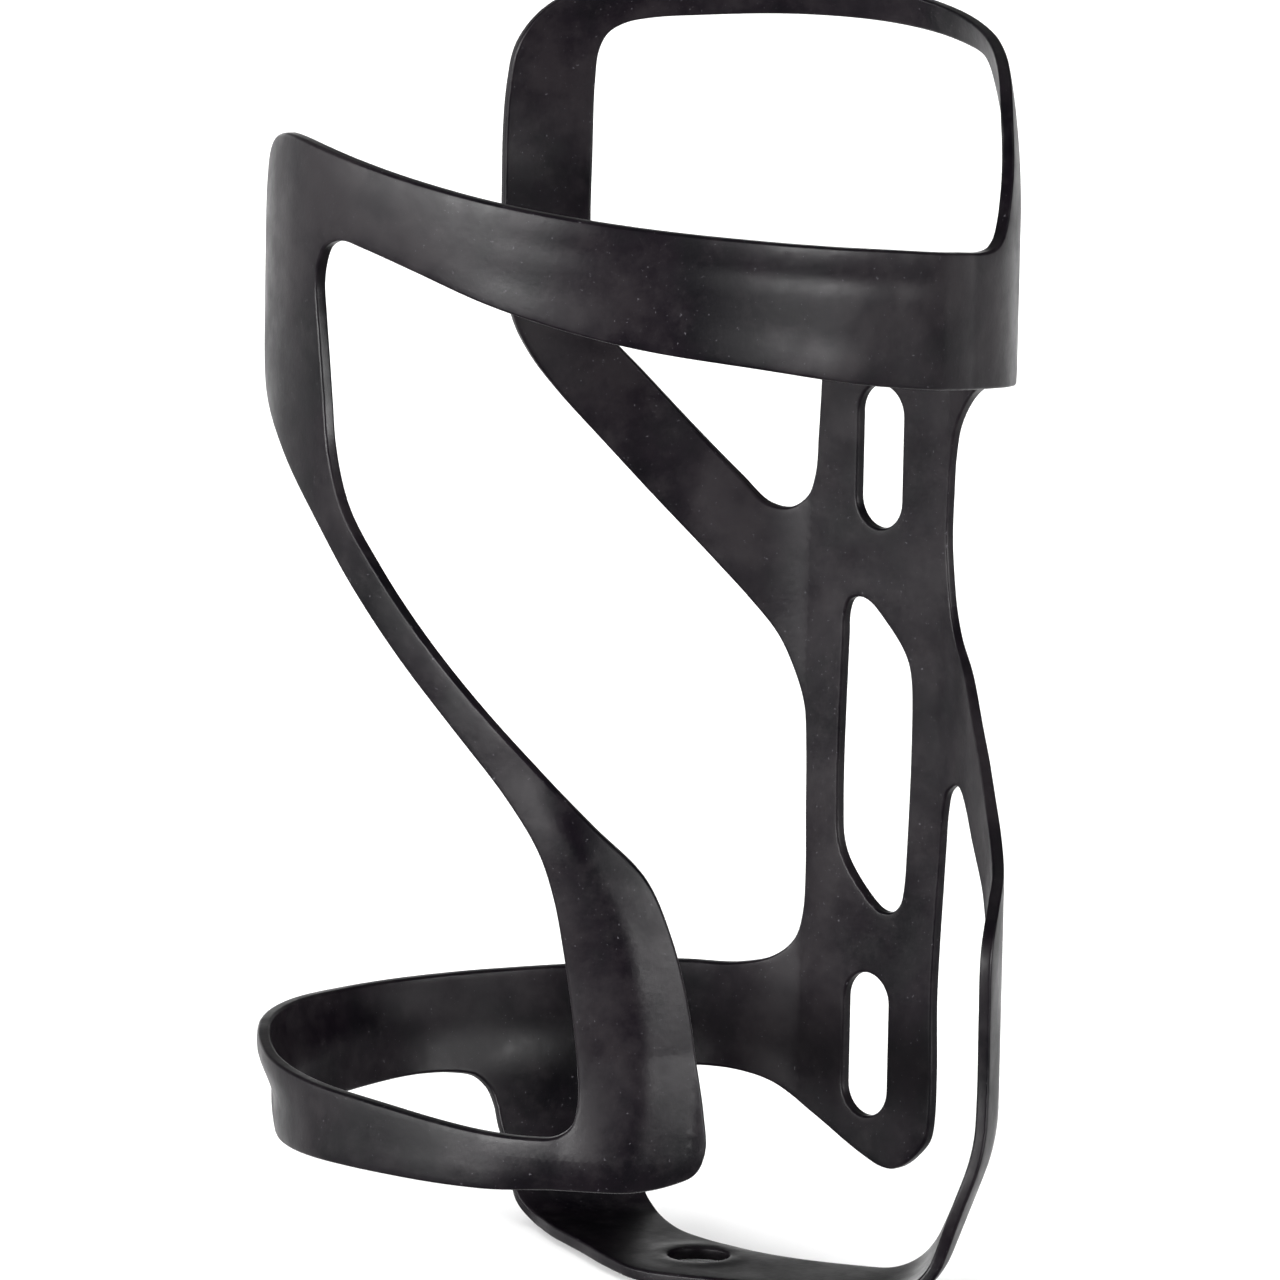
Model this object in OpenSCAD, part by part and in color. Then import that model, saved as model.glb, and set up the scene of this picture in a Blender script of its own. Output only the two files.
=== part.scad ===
// Side-loading bicycle water bottle cage, moulded as one thin shell round the bottle.
// +Z runs up the bottle. The origin lies midway between the two bolt slots, on the flat
// back face that sits against the frame tube, and +Y points out of that face.
// The bottle's axis is parallel to Z at y = -cage_r. Places on the shell are given as
// [angle, height]: the angle is measured at the bottle's axis from +Y towards +X.

/* [Shell] */
// Outer radius of the shell round the bottle
cage_r = 39.3; // [38.5:0.1:41]
// Thickness of the moulded shell
shell_t = 1.4; // [1.2:0.1:2]
// Inward lean of the top hoop at its highest point
hoop_lean = 2.6; // [0:0.1:3]

/* [Mounting plate] */
// Distance between the two bolt slots, the standard bottle cage spacing
slot_spacing = 64; // [63:0.5:65]
// Width of a bolt slot
slot_w = 6.6; // [5.5:0.1:7]
// Length of a bolt slot from end to end
slot_l = 15.8; // [12:0.2:16]
// Half the width of the flat mounting plate
plate_half = 9.7; // [9.4:0.1:9.9]

/* [Foot] */
// Height of the foot's underside below the middle of the plate
foot_z = -52.5; // [-54:0.5:-52]
// Steepness of the slope between the wall and the foot's floor
foot_slope = 70; // [66:1:72]
// Diameter of the drain hole in the foot
drain_d = 6.7; // [4:0.1:8]

/* [Hidden] */
$fn = 48;

carbon = [0.13, 0.13, 0.14];
across = 4;                             // facets across the width of a limb
steps = 3;                              // facets along a limb between two of its ribs
pad_phi = atan(plate_half / cage_r);    // angle at the plate's long edge
left_half = plate_half - 0.6;           // the plate is a little narrower on the left
left_phi = -atan(left_half / cage_r);
blend_phi = 30;                         // angle where the flat back has become round
flat_top = 52;                          // the back is flat up to this height
flat_fade = 12;                         // and round this far above it
lean_z = 62;                            // the hoop starts to lean inwards here
hoop_top = 82.8;                        // highest point of the hoop
ring_low = -37;                         // lower edge of the ring at the foot
riser_low = -38;                        // lower end of the riser
floor_bend = 8;                         // bend between the foot's floor and its slope
slope_l = 9;                            // length of the slope
wall_bend = 20;                         // bend between the slope and the upright wall
hole_y = 12;                            // drain hole, from the bottle's axis to the plate
hole_depth = 6;                         // height of the drain hole's cutter

// Places where two limbs share an end: each is [inner edge, outer edge].
end_band = [[188, 62.6], [188, 71.1]];
end_corner = [[189.5, 35.2], [196.5, 33.6]];
end_arm = [[125.8, -25.3], [144.8, -24.5]];
end_low = [[160, -33.9], [160, -27.7]];
end_front = [[230, -35], [230, -25.3]];
end_strut = [[-60.2, 40.6], [-49.4, 44.6]];
end_upright = [[-64.4, 70], [-50.3, 70]];
end_hoop = [[38, 81], [33, 78]];
leg_foot = [[62.8, 60.9], [46, 58.8]];

// ---- the surface ----

function ease(x) = let(c = min(max(x, 0), 1)) c * c * (3 - 2 * c);

// How flat the back is at a place: 1 on the plate, 0 on the round wall
function flatness(phi, z) = (1 - ease((abs(phi) - pad_phi) / (blend_phi - pad_phi)))
    * (1 - ease((z - flat_top) / flat_fade));

function lean_in(z) = hoop_lean * pow(max(z - lean_z, 0) / (hoop_top - lean_z), 2);

// The profile from the foot's floor up the slope to the wall, measured along the surface
flat_r = cage_r - floor_bend * sin(foot_slope) - slope_l * cos(foot_slope)
    - wall_bend * (1 - sin(foot_slope));
low_arc = floor_bend * foot_slope * PI / 180;
high_arc = wall_bend * (90 - foot_slope) * PI / 180;
bend_z = foot_z + floor_bend * (1 - cos(foot_slope)) + slope_l * sin(foot_slope)
    + wall_bend * cos(foot_slope);
wall_far = flat_r + low_arc + slope_l + high_arc;

// How far the lower edge of the wall already leans in above the slope
function tuck_in(z) = wall_bend - sqrt(pow(wall_bend, 2) - pow(max(bend_z - z, 0), 2));

function outer_r(phi, z) = cage_r - lean_in(z) - tuck_in(z) * (1 - flatness(phi, z))
    + flatness(phi, z) * cage_r * (1 / cos(min(abs(phi), pad_phi)) - 1);

// A point at the depth d below the outer face of the upright wall
function wall(phi, z, d) = let(dir = phi * (1 - flatness(phi, z)))
    [outer_r(phi, z) * sin(phi) - d * sin(dir),
     outer_r(phi, z) * cos(phi) - cage_r - d * cos(dir),
     z];

// The foot's flat pattern is drawn on a plan round the bottle's axis. A place's distance
// from the axis is measured along the profile.
function spot(phi, far) = far * [sin(phi), cos(phi)];
function far_at(z) = wall_far - wall_bend * asin((bend_z - z) / wall_bend) * PI / 180;

// Moves the places over a rib so that their distances from the axis change evenly
function evened(row) = let(a = norm(row[0]), b = norm(row[across]))
    [for (j = [0 : across]) row[j] / norm(row[j]) * (a + (b - a) * j / across)];

function bent(v, d) = let(
        far = norm(v),
        dir = far > 0 ? v / far : [0, 1],
        t1 = foot_slope * min(max((far - flat_r) / low_arc, 0), 1),
        run = min(max(far - flat_r - low_arc, 0), slope_l),
        part = min(max((far - flat_r - low_arc - slope_l) / high_arc, 0), 1),
        t2 = foot_slope + (90 - foot_slope) * part,
        turn = part > 0 ? t2 : t1,
        r = min(far, flat_r) + floor_bend * sin(t1) + run * cos(foot_slope)
            + wall_bend * (sin(t2) - sin(foot_slope)) - d * sin(turn),
        z = foot_z + floor_bend * (1 - cos(t1)) + run * sin(foot_slope)
            + wall_bend * (cos(foot_slope) - cos(t2)) + d * cos(turn))
    [r * dir[0], r * dir[1] - cage_r, z];

// ---- limbs ----

// A smooth curve through the points p, at the place t from 0 to len(p) - 1
function curve(p, t) = let(
        i = min(floor(t), len(p) - 2), f = t - i,
        a = p[max(i - 1, 0)], b = p[i], c = p[i + 1], e = p[min(i + 2, len(p) - 1)])
    b + f * (c - a) / 2 + f * f * (a - 5 * b / 2 + 2 * c - e / 2)
      + f * f * f * (3 * (b - c) + e - a) / 2;

// Places [along][over] of a limb whose ribs are pairs of edge points
function grid(ribs) = let(left = [for (r = ribs) r[0]], right = [for (r = ribs) r[1]])
    [for (i = [0 : (len(ribs) - 1) * steps])
        let(a = curve(left, i / steps), b = curve(right, i / steps))
        [for (j = [0 : across]) a + (b - a) * j / across]];

// A closed shell between an outer and an inner sheet of points of the same layout
module shell(outer, inner, turned) {
    n = len(outer);
    m = len(outer[0]);
    points = concat([for (row = outer) each row], [for (row = inner) each row]);
    function o(i, j) = i * m + j;
    function u(i, j) = n * m + i * m + j;
    faces = concat(
        [for (i = [0 : n - 2], j = [0 : m - 2]) each [
            [o(i, j), o(i, j + 1), o(i + 1, j + 1)], [o(i, j), o(i + 1, j + 1), o(i + 1, j)],
            [u(i, j), u(i + 1, j + 1), u(i, j + 1)], [u(i, j), u(i + 1, j), u(i + 1, j + 1)]]],
        [for (i = [0 : n - 2]) each [
            [o(i, 0), o(i + 1, 0), u(i + 1, 0)], [o(i, 0), u(i + 1, 0), u(i, 0)],
            [o(i, m - 1), u(i + 1, m - 1), o(i + 1, m - 1)],
            [o(i, m - 1), u(i, m - 1), u(i + 1, m - 1)]]],
        [for (j = [0 : m - 2]) each [
            [o(0, j), u(0, j), u(0, j + 1)], [o(0, j), u(0, j + 1), o(0, j + 1)],
            [o(n - 1, j), u(n - 1, j + 1), u(n - 1, j)],
            [o(n - 1, j), o(n - 1, j + 1), u(n - 1, j + 1)]]]);
    polyhedron(points, turned ? [for (f = faces) [f[2], f[1], f[0]]] : faces);
}

// True where a limb runs clockwise seen from above with its first edge low
function clockwise(ribs) = let(
        a = ribs[0][0], b = ribs[0][1], c = (ribs[1][0] + ribs[1][1]) / 2 - (a + b) / 2)
    c[0] * (b[1] - a[1]) - c[1] * (b[0] - a[0]) > 0;

// A limb of the upright wall
module limb(ribs) {
    places = grid(ribs);
    shell([for (row = places) [for (p = row) wall(p[0], p[1], 0)]],
          [for (row = places) [for (p = row) wall(p[0], p[1], shell_t)]],
          clockwise(ribs));
}

// ---- the mounting plate ----

// Corners [x, z, radius] as a polygon with round corners
function rounded(c) = [for (i = [0 : len(c) - 1]) let(
        p = [c[i][0], c[i][1]],
        q = c[(i + len(c) - 1) % len(c)], s = c[(i + 1) % len(c)],
        to_q = [q[0], q[1]] - p, to_s = [s[0], s[1]] - p,
        dq = to_q / norm(to_q), ds = to_s / norm(to_s),
        half = acos(dq * ds) / 2,
        back = c[i][2] / tan(half),
        middle = p + (dq + ds) / norm(dq + ds) * c[i][2] / sin(half),
        from = p + dq * back - middle, to = p + ds * back - middle,
        sweep = 180 - 2 * half, side = dq[0] * ds[1] - dq[1] * ds[0] > 0 ? -1 : 1)
    each c[i][2] == 0 ? [p] : [for (k = [0 : 6]) let(a = side * sweep * k / 6)
        middle + [from[0] * cos(a) - from[1] * sin(a), from[0] * sin(a) + from[1] * cos(a)]]];

plate_top = 50.3;
plate_outline = [[plate_half, plate_top, 0], [-left_half + 0.3, 42.5, 5],
                 [-left_half + 0.3, 32, 10], [-left_half, 29, 0],
                 [-left_half, -40.1, 0.5], [3.6, -45.9, 6], [9.2, -41.6, 4],
                 [9.1, -18, 20], [plate_half, -8, 10]];
window_outline = [[-4.9, 17.1, 1.2], [-1.6, 17.1, 2.5], [5.5, 10.6, 5],
                  [5.1, -17.7, 1.8], [1.9, -17.7, 1.5], [-5.1, -11.1, 4.5]];

// Stands a flat outline on the plate, from its inner face to its back face
module upright_slab(outline, from, to)
    translate([0, to, 0]) rotate([90, 0, 0]) linear_extrude(to - from) polygon(outline);

module slot_cutter() {
    reach = (slot_l - slot_w) / 2;
    for (s = [-1, 1]) translate([0, 1, s * reach]) rotate([90, 0, 0])
        cylinder(d = slot_w, h = shell_t + 2);
    translate([-slot_w / 2, -shell_t - 1, -reach]) cube([slot_w, shell_t + 2, 2 * reach]);
}

module mount_plate() {
    color(carbon) difference() {
        upright_slab(rounded(plate_outline), -shell_t, 0);
        upright_slab(rounded(window_outline), -shell_t - 1, 1);
        for (s = [-1, 1]) translate([0, 0, s * slot_spacing / 2]) slot_cutter();
    }
}

// ---- the near side: band, corner, arm and ring ----

module side_band() {
    color(carbon) limb([
        [[pad_phi, 32.5], [pad_phi, plate_top]], [[16, 36.2], [19, 51.8]],
        [[19, 39.8], [26, 53.2]], [[26, 41.8], [35, 55.9]], [[42, 44.3], leg_foot[1]],
        [[62.8, 46.4], leg_foot[0]], [[80, 47.9], [80, 62.2]], [[100, 50.1], [100, 63.9]],
        [[120, 52.5], [120, 65.6]], [[140, 55], [140, 67.1]], [[160, 58.2], [160, 68.7]],
        [[175, 61.1], [175, 70.1]], end_band]);
}

module front_corner() {
    color(carbon) limb([
        end_band, [[193, 62.2], [199, 71.8]], [[195.6, 60.4], [212, 71.7]],
        [[197, 57.5], [221.5, 69]], [[196.8, 54], [228, 62.5]], [[195.6, 50], [228.5, 54.5]],
        [[194.3, 45.5], [221.5, 45.2]], [[193, 40.8], [208.5, 39.5]], end_corner]);
}

module diagonal_arm() {
    color(carbon) limb([
        end_corner, [[181.8, 29.6], [186.8, 27.7]], [[171.5, 22.7], [175.4, 20.3]],
        [[161.6, 16.2], [165.7, 13.9]], [[151.4, 9.8], [157, 7.4]], [[143.4, 4.6], [151.8, 2.3]],
        [[135.4, -0.7], [149.3, -2.4]], [[131.3, -6.8], [147.5, -8.5]],
        [[128.6, -13.5], [146, -15]], [[127, -20], [145.1, -20.3]], end_arm]);
}

module lower_corner() {
    color(carbon) limb([
        end_arm, [[125.6, -29.2], [145.4, -26.3]], [[127, -31.8], [147.4, -27.4]],
        [[132, -33.1], [151, -27.9]], [[145, -33.4], [155.5, -27.9]], end_low]);
}

module ring_front() {
    color(carbon) limb([
        end_low, [[180, -33.9], [180, -26.7]], [[205, -34], [205, -26.4]], end_front]);
}

module ring_rear() {
    turned = [for (p = end_front) [p[0] - 360, p[1]]];
    color(carbon) limb([
        turned, [[-112, -36.3], [-112, -25.7]], [[-92, ring_low], [-92, -26.2]],
        [[-71, ring_low], [-71, -26.5]], [[-52, ring_low], [-52, -26.3]],
        [[-34, ring_low], [-34, -25.5]], [[-24, -37.2], [-24, -25.1]],
        [[-18, -38.1], [-18, -23.8]], [[left_phi, -40.1], [left_phi, -19.8]]]);
}

// ---- the back: riser, foot, strut, upright and hoop ----

module riser() {
    color(carbon) limb([
        [[pad_phi, -7], [pad_phi, 22]], [[15.4, -3.2], [15.6, 16.5]], [[18.5, -1.4], [18.5, 14]],
        [[23, -1.3], [23.5, 10.4]], [[27, -3.3], [30, 4]], [[31.5, -7.6], [37, -1.4]],
        [[37, -11.5], [46, -6]], [[41, -16], [56, -8.7]], [[43.5, -22], [62, -13.2]],
        [[44.5, -28], [62.8, -21]], [[45, -33], [62.5, -29]], [[45, riser_low], [64, riser_low]]]);
}

module foot_strap() {
    wing = [[spot(64, far_at(riser_low)), spot(45, far_at(riser_low))],
            [spot(64, 43), spot(43.5, 43)], [spot(63, 38), spot(41.5, 38.5)],
            [spot(62.6, 33.5), spot(38.6, 34)], [spot(61.6, 29), spot(34.8, 29.5)],
            [spot(61, 22.5), spot(31, 25)], [spot(58.3, 15.5), spot(25, 21.2)],
            [spot(50, 7.8), spot(14, 18.4)]];
    mirrored = [for (r = wing) [for (p = r) [-p[0], p[1]]]];
    last = len(wing) - 1;
    ribs = concat([[spot(-68.8, far_at(ring_low)), spot(-38, far_at(ring_low))]],
                  [for (i = [1 : last]) mirrored[i]], [[[0, 2.8], [0, 18]]],
                  [for (i = [last : -1 : 0]) wing[i]]);
    places = [for (row = grid(ribs)) evened(row)];
    color(carbon) difference() {
        shell([for (row = places) [for (p = row) bent(p, 0)]],
              [for (row = places) [for (p = row) bent(p, shell_t)]], false);
        translate([0, hole_y - cage_r, foot_z - hole_depth / 2])
            cylinder(d = drain_d, h = hole_depth);
    }
}

module brace_strut() {
    color(carbon) limb([
        [[left_phi, 1.5], [left_phi, 30]], [[-15.2, 7.4], [-14.8, 27]],
        [[-18.2, 11.2], [-17.3, 25.3]], [[-23, 14.6], [-20.9, 25.2]], [[-29.6, 18.8], [-25.8, 28]],
        [[-38.8, 24.9], [-34, 33.3]], [[-48, 31.4], [-41.6, 38.6]], [[-55, 36.4], [-47.2, 42.4]],
        end_strut]);
}

module rear_upright() {
    color(carbon) limb([
        end_strut, [[-63.2, 44.8], [-50.3, 49.2]], [[-64.6, 51.5], [-50.5, 55.5]],
        [[-64.9, 60], [-50.4, 62.6]], end_upright]);
}

module top_hoop() {
    color(carbon) limb([
        end_upright, [[-63.2, 74.4], [-49.8, 73.6]], [[-60, 77.6], [-48.4, 75.4]],
        [[-54.5, 80], [-45.8, 76.8]], [[-47.5, 81.4], [-41, 77.5]], [[-36, 82.3], [-33, 78]],
        [[-18, hoop_top], [-18, 78.8]], [[0, hoop_top], [0, 79]], [[15, 82.3], [15, 78.6]],
        [[28, 81.8], [25.5, 78.3]], end_hoop]);
}

module hoop_leg() {
    color(carbon) limb([
        end_hoop, [[46.8, 79.2], [38.8, 76.8]], [[54.3, 75.9], [43, 74.4]],
        [[60, 71.6], [45, 71]], [[62.2, 66.2], [45.6, 65.2]], leg_foot]);
}

mount_plate();
side_band();
front_corner();
diagonal_arm();
lower_corner();
ring_front();
ring_rear();
foot_strap();
riser();
brace_strut();
rear_upright();
top_hoop();
hoop_leg();
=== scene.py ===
import bpy
import math
import numpy as np
from mathutils import Matrix, Vector, kdtree
from mathutils.geometry import delaunay_2d_cdt


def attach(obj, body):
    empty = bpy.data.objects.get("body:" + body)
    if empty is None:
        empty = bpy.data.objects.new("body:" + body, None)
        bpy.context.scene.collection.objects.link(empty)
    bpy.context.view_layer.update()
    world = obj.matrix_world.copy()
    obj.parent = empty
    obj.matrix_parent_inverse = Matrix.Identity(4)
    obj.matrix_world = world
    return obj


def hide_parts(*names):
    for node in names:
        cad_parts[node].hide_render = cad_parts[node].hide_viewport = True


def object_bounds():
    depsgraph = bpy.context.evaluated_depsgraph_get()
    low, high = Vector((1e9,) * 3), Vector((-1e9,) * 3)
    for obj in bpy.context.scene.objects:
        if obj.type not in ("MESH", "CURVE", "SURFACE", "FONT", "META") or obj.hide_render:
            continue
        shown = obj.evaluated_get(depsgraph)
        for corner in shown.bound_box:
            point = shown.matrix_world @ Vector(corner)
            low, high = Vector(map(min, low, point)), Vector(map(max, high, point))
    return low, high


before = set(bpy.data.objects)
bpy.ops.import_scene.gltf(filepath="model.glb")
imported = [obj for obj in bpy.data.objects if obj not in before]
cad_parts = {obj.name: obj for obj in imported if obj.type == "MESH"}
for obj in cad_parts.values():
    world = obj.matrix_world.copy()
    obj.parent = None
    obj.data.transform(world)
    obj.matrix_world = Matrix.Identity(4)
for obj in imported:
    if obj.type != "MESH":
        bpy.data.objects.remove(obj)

CAD_BOX = [list(c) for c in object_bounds()]

# The cage is one thin moulded shell. Its outlines are drawn on two flat patterns, one for the
# upright wall and one for the foot. Each pattern is filled with triangles, parted into pieces
# along seams and bent to shape, as an outer and an inner face with rounded edges between them.
#
# Lengths are in mm until the meshes are made. The bottle's axis stands at x = 0, y = -R, and the
# flat back plate's outer face is at y = 0. Angles are in degrees round the axis, from +Y towards
# +X. A depth is measured from the outer face towards the bottle.

# ---------------------------------------------------------------- sizes
R = 39.3                        # outer radius of the wall
T = 1.4                         # thickness of the shell
PER_DEG = R * math.pi / 180     # arc length on the wall for one degree
EDGE = 0.32                     # radius of the rounding along every edge
GROW = 0.1                      # how far outside the drawn outlines the rounded edges end

PLATE = 9.7                     # half the width of the flat back plate
PLATE_PHI = math.degrees(math.atan(PLATE / R))
ROUND_PHI = 30                  # the wall is fully round from this angle on
FLAT_TOP, FLAT_FADE = 52, 12    # above this height the plate turns round over this length

LEAN = 2.45                     # how far the hoop leans in
LEAN_Z, HOOP_TOP = 62, 82.8     # heights between which it does

FOOT_Z = -52.5                  # outer face of the foot's floor
SLOPE = math.radians(70)        # steepness of the foot's slanted side
SIDE_RUN = 9                    # straight length of that side
FLOOR_BEND, WALL_BEND = 8, 20   # radii of the bends below and above it
FLOOR_R = (R - FLOOR_BEND * math.sin(SLOPE) - SIDE_RUN * math.cos(SLOPE)
           - WALL_BEND * (1 - math.sin(SLOPE)))         # radius of the flat floor
LOW_ARC, HIGH_ARC = FLOOR_BEND * SLOPE, WALL_BEND * (math.pi / 2 - SLOPE)
BEND_Z = (FOOT_Z + FLOOR_BEND * (1 - math.cos(SLOPE)) + SIDE_RUN * math.sin(SLOPE)
          + WALL_BEND * math.cos(SLOPE))
WALL_FAR = FLOOR_R + LOW_ARC + SIDE_RUN + HIGH_ARC      # from the axis to BEND_Z, along the profile
CUT = -42                       # height on the wall's pattern where the foot's pattern takes over
FAR_CUT = WALL_FAR + CUT - BEND_Z                       # the same place on the foot's pattern

DRAIN_Y, DRAIN_R = 12, 3.35     # the drain hole's distance from the axis, and its radius
DRAIN_SIDES = 56


# ---------------------------------------------------------------- the shell's form
def ease(x):
    """A smooth step from 0 at x = 0 to 1 at x = 1."""
    c = np.clip(x, 0, 1)
    return c * c * (3 - 2 * c)


def between(x, start, rise, end, fall):
    """0 up to start, 1 from start + rise to end, and 0 again from end + fall on."""
    return ease((x - start) / rise) * (1 - ease((x - end) / fall))


def cross(a, b):
    """Positive where b points to the left of a."""
    return a[0] * b[1] - a[1] * b[0]


def flatness(phi, z):
    """1 on the flat back plate and 0 on the round wall."""
    return ((1 - ease((abs(phi) - PLATE_PHI) / (ROUND_PHI - PLATE_PHI)))
            * (1 - ease((z - FLAT_TOP) / FLAT_FADE)))


def profile(far):
    """Radius, height and turn of the foot's profile at a distance along it from the axis."""
    low_turn = SLOPE * np.clip((far - FLOOR_R) / LOW_ARC, 0, 1)
    run = np.clip(far - FLOOR_R - LOW_ARC, 0, SIDE_RUN)
    part = np.clip((far - FLOOR_R - LOW_ARC - SIDE_RUN) / HIGH_ARC, 0, 1)
    high_turn = SLOPE + (math.pi / 2 - SLOPE) * part
    r = (np.minimum(far, FLOOR_R) + FLOOR_BEND * np.sin(low_turn) + run * math.cos(SLOPE)
         + WALL_BEND * (np.sin(high_turn) - math.sin(SLOPE)))
    z = (FOOT_Z + FLOOR_BEND * (1 - np.cos(low_turn)) + run * math.sin(SLOPE)
         + WALL_BEND * (math.cos(SLOPE) - np.cos(high_turn)) + np.maximum(far - WALL_FAR, 0))
    return r, z, np.where(part > 0, high_turn, low_turn)


# the lower ring's waist: where it comes and goes, as in between(), then two falls that add up,
# each with the height it starts at, the length it takes downwards and how far it draws in
WAIST_ZONE = (190, 34, 256, 34)
LIP_Z, LIP_FALL, LIP_IN = -16, 6, 0.3
WAIST_Z, WAIST_FALL, WAIST_IN = -26.6, 5.2, 1.62


def waist(phi, z):
    """How far the front of the lower ring is drawn in under its flared lip."""
    lip = LIP_IN * ease((LIP_Z - z) / LIP_FALL)
    drawn_in = WAIST_IN * ease((WAIST_Z - z) / WAIST_FALL)
    return between(np.where(phi < 0, phi + 360, phi), *WAIST_ZONE) * (lip + drawn_in)


def wall(uv, depth):
    """Bends the upright wall's pattern, which is (angle as arc length, height along the surface)."""
    phi, v = uv[:, 0] / PER_DEG, uv[:, 1]
    flat = flatness(phi, v)
    bent = 1 - flat
    r, z, turn = profile(WALL_FAR + v - BEND_Z)
    lean = LEAN * (np.maximum(v - LEAN_Z, 0) / (HOOP_TOP - LEAN_Z)) ** 2
    to_flat = R * (1 / np.cos(np.radians(np.minimum(abs(phi), PLATE_PHI))) - 1)
    radius = R - lean - (R - r) * bent - waist(phi, v) + flat * to_flat
    angle, facing = np.radians(phi), np.radians(phi * bent)
    tilt = (math.pi / 2 - turn) * bent
    return np.stack([radius * np.sin(angle) - depth * np.cos(tilt) * np.sin(facing),
                     radius * np.cos(angle) - R - depth * np.cos(tilt) * np.cos(facing),
                     v + (z - v) * bent + depth * np.sin(tilt)], 1)


def foot(uv, depth):
    """Bends the foot's pattern, a plan round the bottle's axis, to its bowl."""
    far = np.maximum(np.linalg.norm(uv, axis=1), 1e-6)
    r, z, turn = profile(far)
    r = r - depth * np.sin(turn)
    return np.stack([uv[:, 0] / far * r, uv[:, 1] / far * r - R, z + depth * np.cos(turn)], 1)


def wall_scale(uv):
    """Real length of a step across, per unit of the pattern, and the direction of such a step."""
    return np.ones(len(uv)), np.zeros((len(uv), 2)) + (1, 0)


def foot_scale(uv):
    """The same for the foot's pattern, which is drawn together as it bends up."""
    far = np.maximum(np.linalg.norm(uv, axis=1), 1e-6)
    return profile(far)[0] / far, np.stack([-uv[:, 1], uv[:, 0]], 1) / far[:, None]


# ---------------------------------------------------------------- curves
SAMPLE = 0.08                   # spacing of the points along a curve


def spline(pts, closed=False):
    """Centripetal curve through the points, sampled densely."""
    p = np.array(pts, float)
    n = len(p)
    out = []
    for i in range(n if closed else n - 1):
        if closed:
            q = [p[(i + k) % n] for k in (-1, 0, 1, 2)]
        else:
            q = [p[max(i - 1, 0)], p[i], p[i + 1], p[min(i + 2, n - 1)]]
            if i == 0:
                q[0] = 2 * q[1] - q[2]
            if i == n - 2:
                q[3] = 2 * q[2] - q[1]
        k = [0.0]
        for j in range(3):
            k.append(k[-1] + max(np.linalg.norm(q[j + 1] - q[j]), 1e-6) ** 0.5)
        steps = max(int(np.linalg.norm(q[2] - q[1]) / SAMPLE), 4)
        t = np.linspace(k[1], k[2], steps + 1)[:-1, None]
        a = [(k[j + 1] - t) / (k[j + 1] - k[j]) * q[j] + (t - k[j]) / (k[j + 1] - k[j]) * q[j + 1]
             for j in range(3)]
        b = [(k[j + 2] - t) / (k[j + 2] - k[j]) * a[j] + (t - k[j]) / (k[j + 2] - k[j]) * a[j + 1]
             for j in range(2)]
        out.append((k[2] - t) / (k[2] - k[1]) * b[0] + (t - k[1]) / (k[2] - k[1]) * b[1])
    if not closed:
        out.append(p[-1:])
    return np.concatenate(out)


def thinned(p, closed=False, step=0.6, bend=7, shortest=0.12):
    """Keeps the points where the curve has run a step on, or has turned by the bend in degrees."""
    keep, run, turned = [0], 0.0, 0.0
    for i in range(1, len(p) - 1):
        a, b = p[i] - p[i - 1], p[i + 1] - p[i]
        run += np.linalg.norm(a)
        turned += abs(math.degrees(math.atan2(cross(a, b), a @ b)))
        if run >= step or (turned >= bend and run >= shortest):
            keep.append(i)
            run = turned = 0.0
    if not closed:
        keep.append(len(p) - 1)
    return p[keep]


def deg(pts):
    """[angle, height] to the wall's pattern."""
    return [(a * PER_DEG, z) for a, z in pts]


def plate_xz(pts):
    """[x, height] on the flat plate to the wall's pattern."""
    return [(math.degrees(math.atan(x / R)) * PER_DEG, z) for x, z in pts]


def spot(phi, far):
    """A place on the foot's pattern, from its angle and its distance from the axis."""
    return (far * math.sin(math.radians(phi)), far * math.cos(math.radians(phi)))


def mirror(pts):
    return [(-x, y) for x, y in pts]


def below_cut(angles, level):
    """Points of a wing's edge at these angles, at the cut's level and every 2 mm below it."""
    return [(a, level - 2 * k) for k, a in enumerate(angles)]


def stadium(x, z, width, length):
    """A bolt slot's outline round its middle, closed and sampled finely."""
    radius, straight, n = width / 2, length - width, 60
    turn = [math.pi * k / n for k in range(n + 1)]
    end = [(x + radius * math.cos(t), z + straight / 2 + radius * math.sin(t)) for t in turn]
    side = [(x - radius, z + straight * (0.5 - k / n)) for k in range(1, n)]
    half = np.array(end + side)
    return np.concatenate([half, np.array([2 * x, 2 * z]) - half])


def as_hole(p):
    """A closed outline, turned if need be so that the material round it is on its left."""
    area = sum(cross(p[i - 1], p[i]) for i in range(len(p)))
    return p if area < 0 else p[::-1]


# ---------------------------------------------------------------- outlines
# angles of the right wing's front edge, which the left wing mirrors, and of both wings' back
# edges, at the cut and at 2 and 4 mm below it
WING_FRONT = (64.6, 64.3, 63.6)
LEFT_WING_BACK, RIGHT_WING_BACK = (-44.3, -43.2, -41.5), (44.2, 43.5, 42.9)

# the long part of the band's upper edge
BAND_EDGE = [(72.5, 61.4), (80, 62.05), (100, 63.85), (120, 65.5), (140, 67), (160, 68.6), (175, 69.95)]

# The ring goes all the way round. It is drawn from -180 to 268 degrees, and both ends of the
# drawing are left out beyond the seam at 230 degrees, which is also -130.

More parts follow.
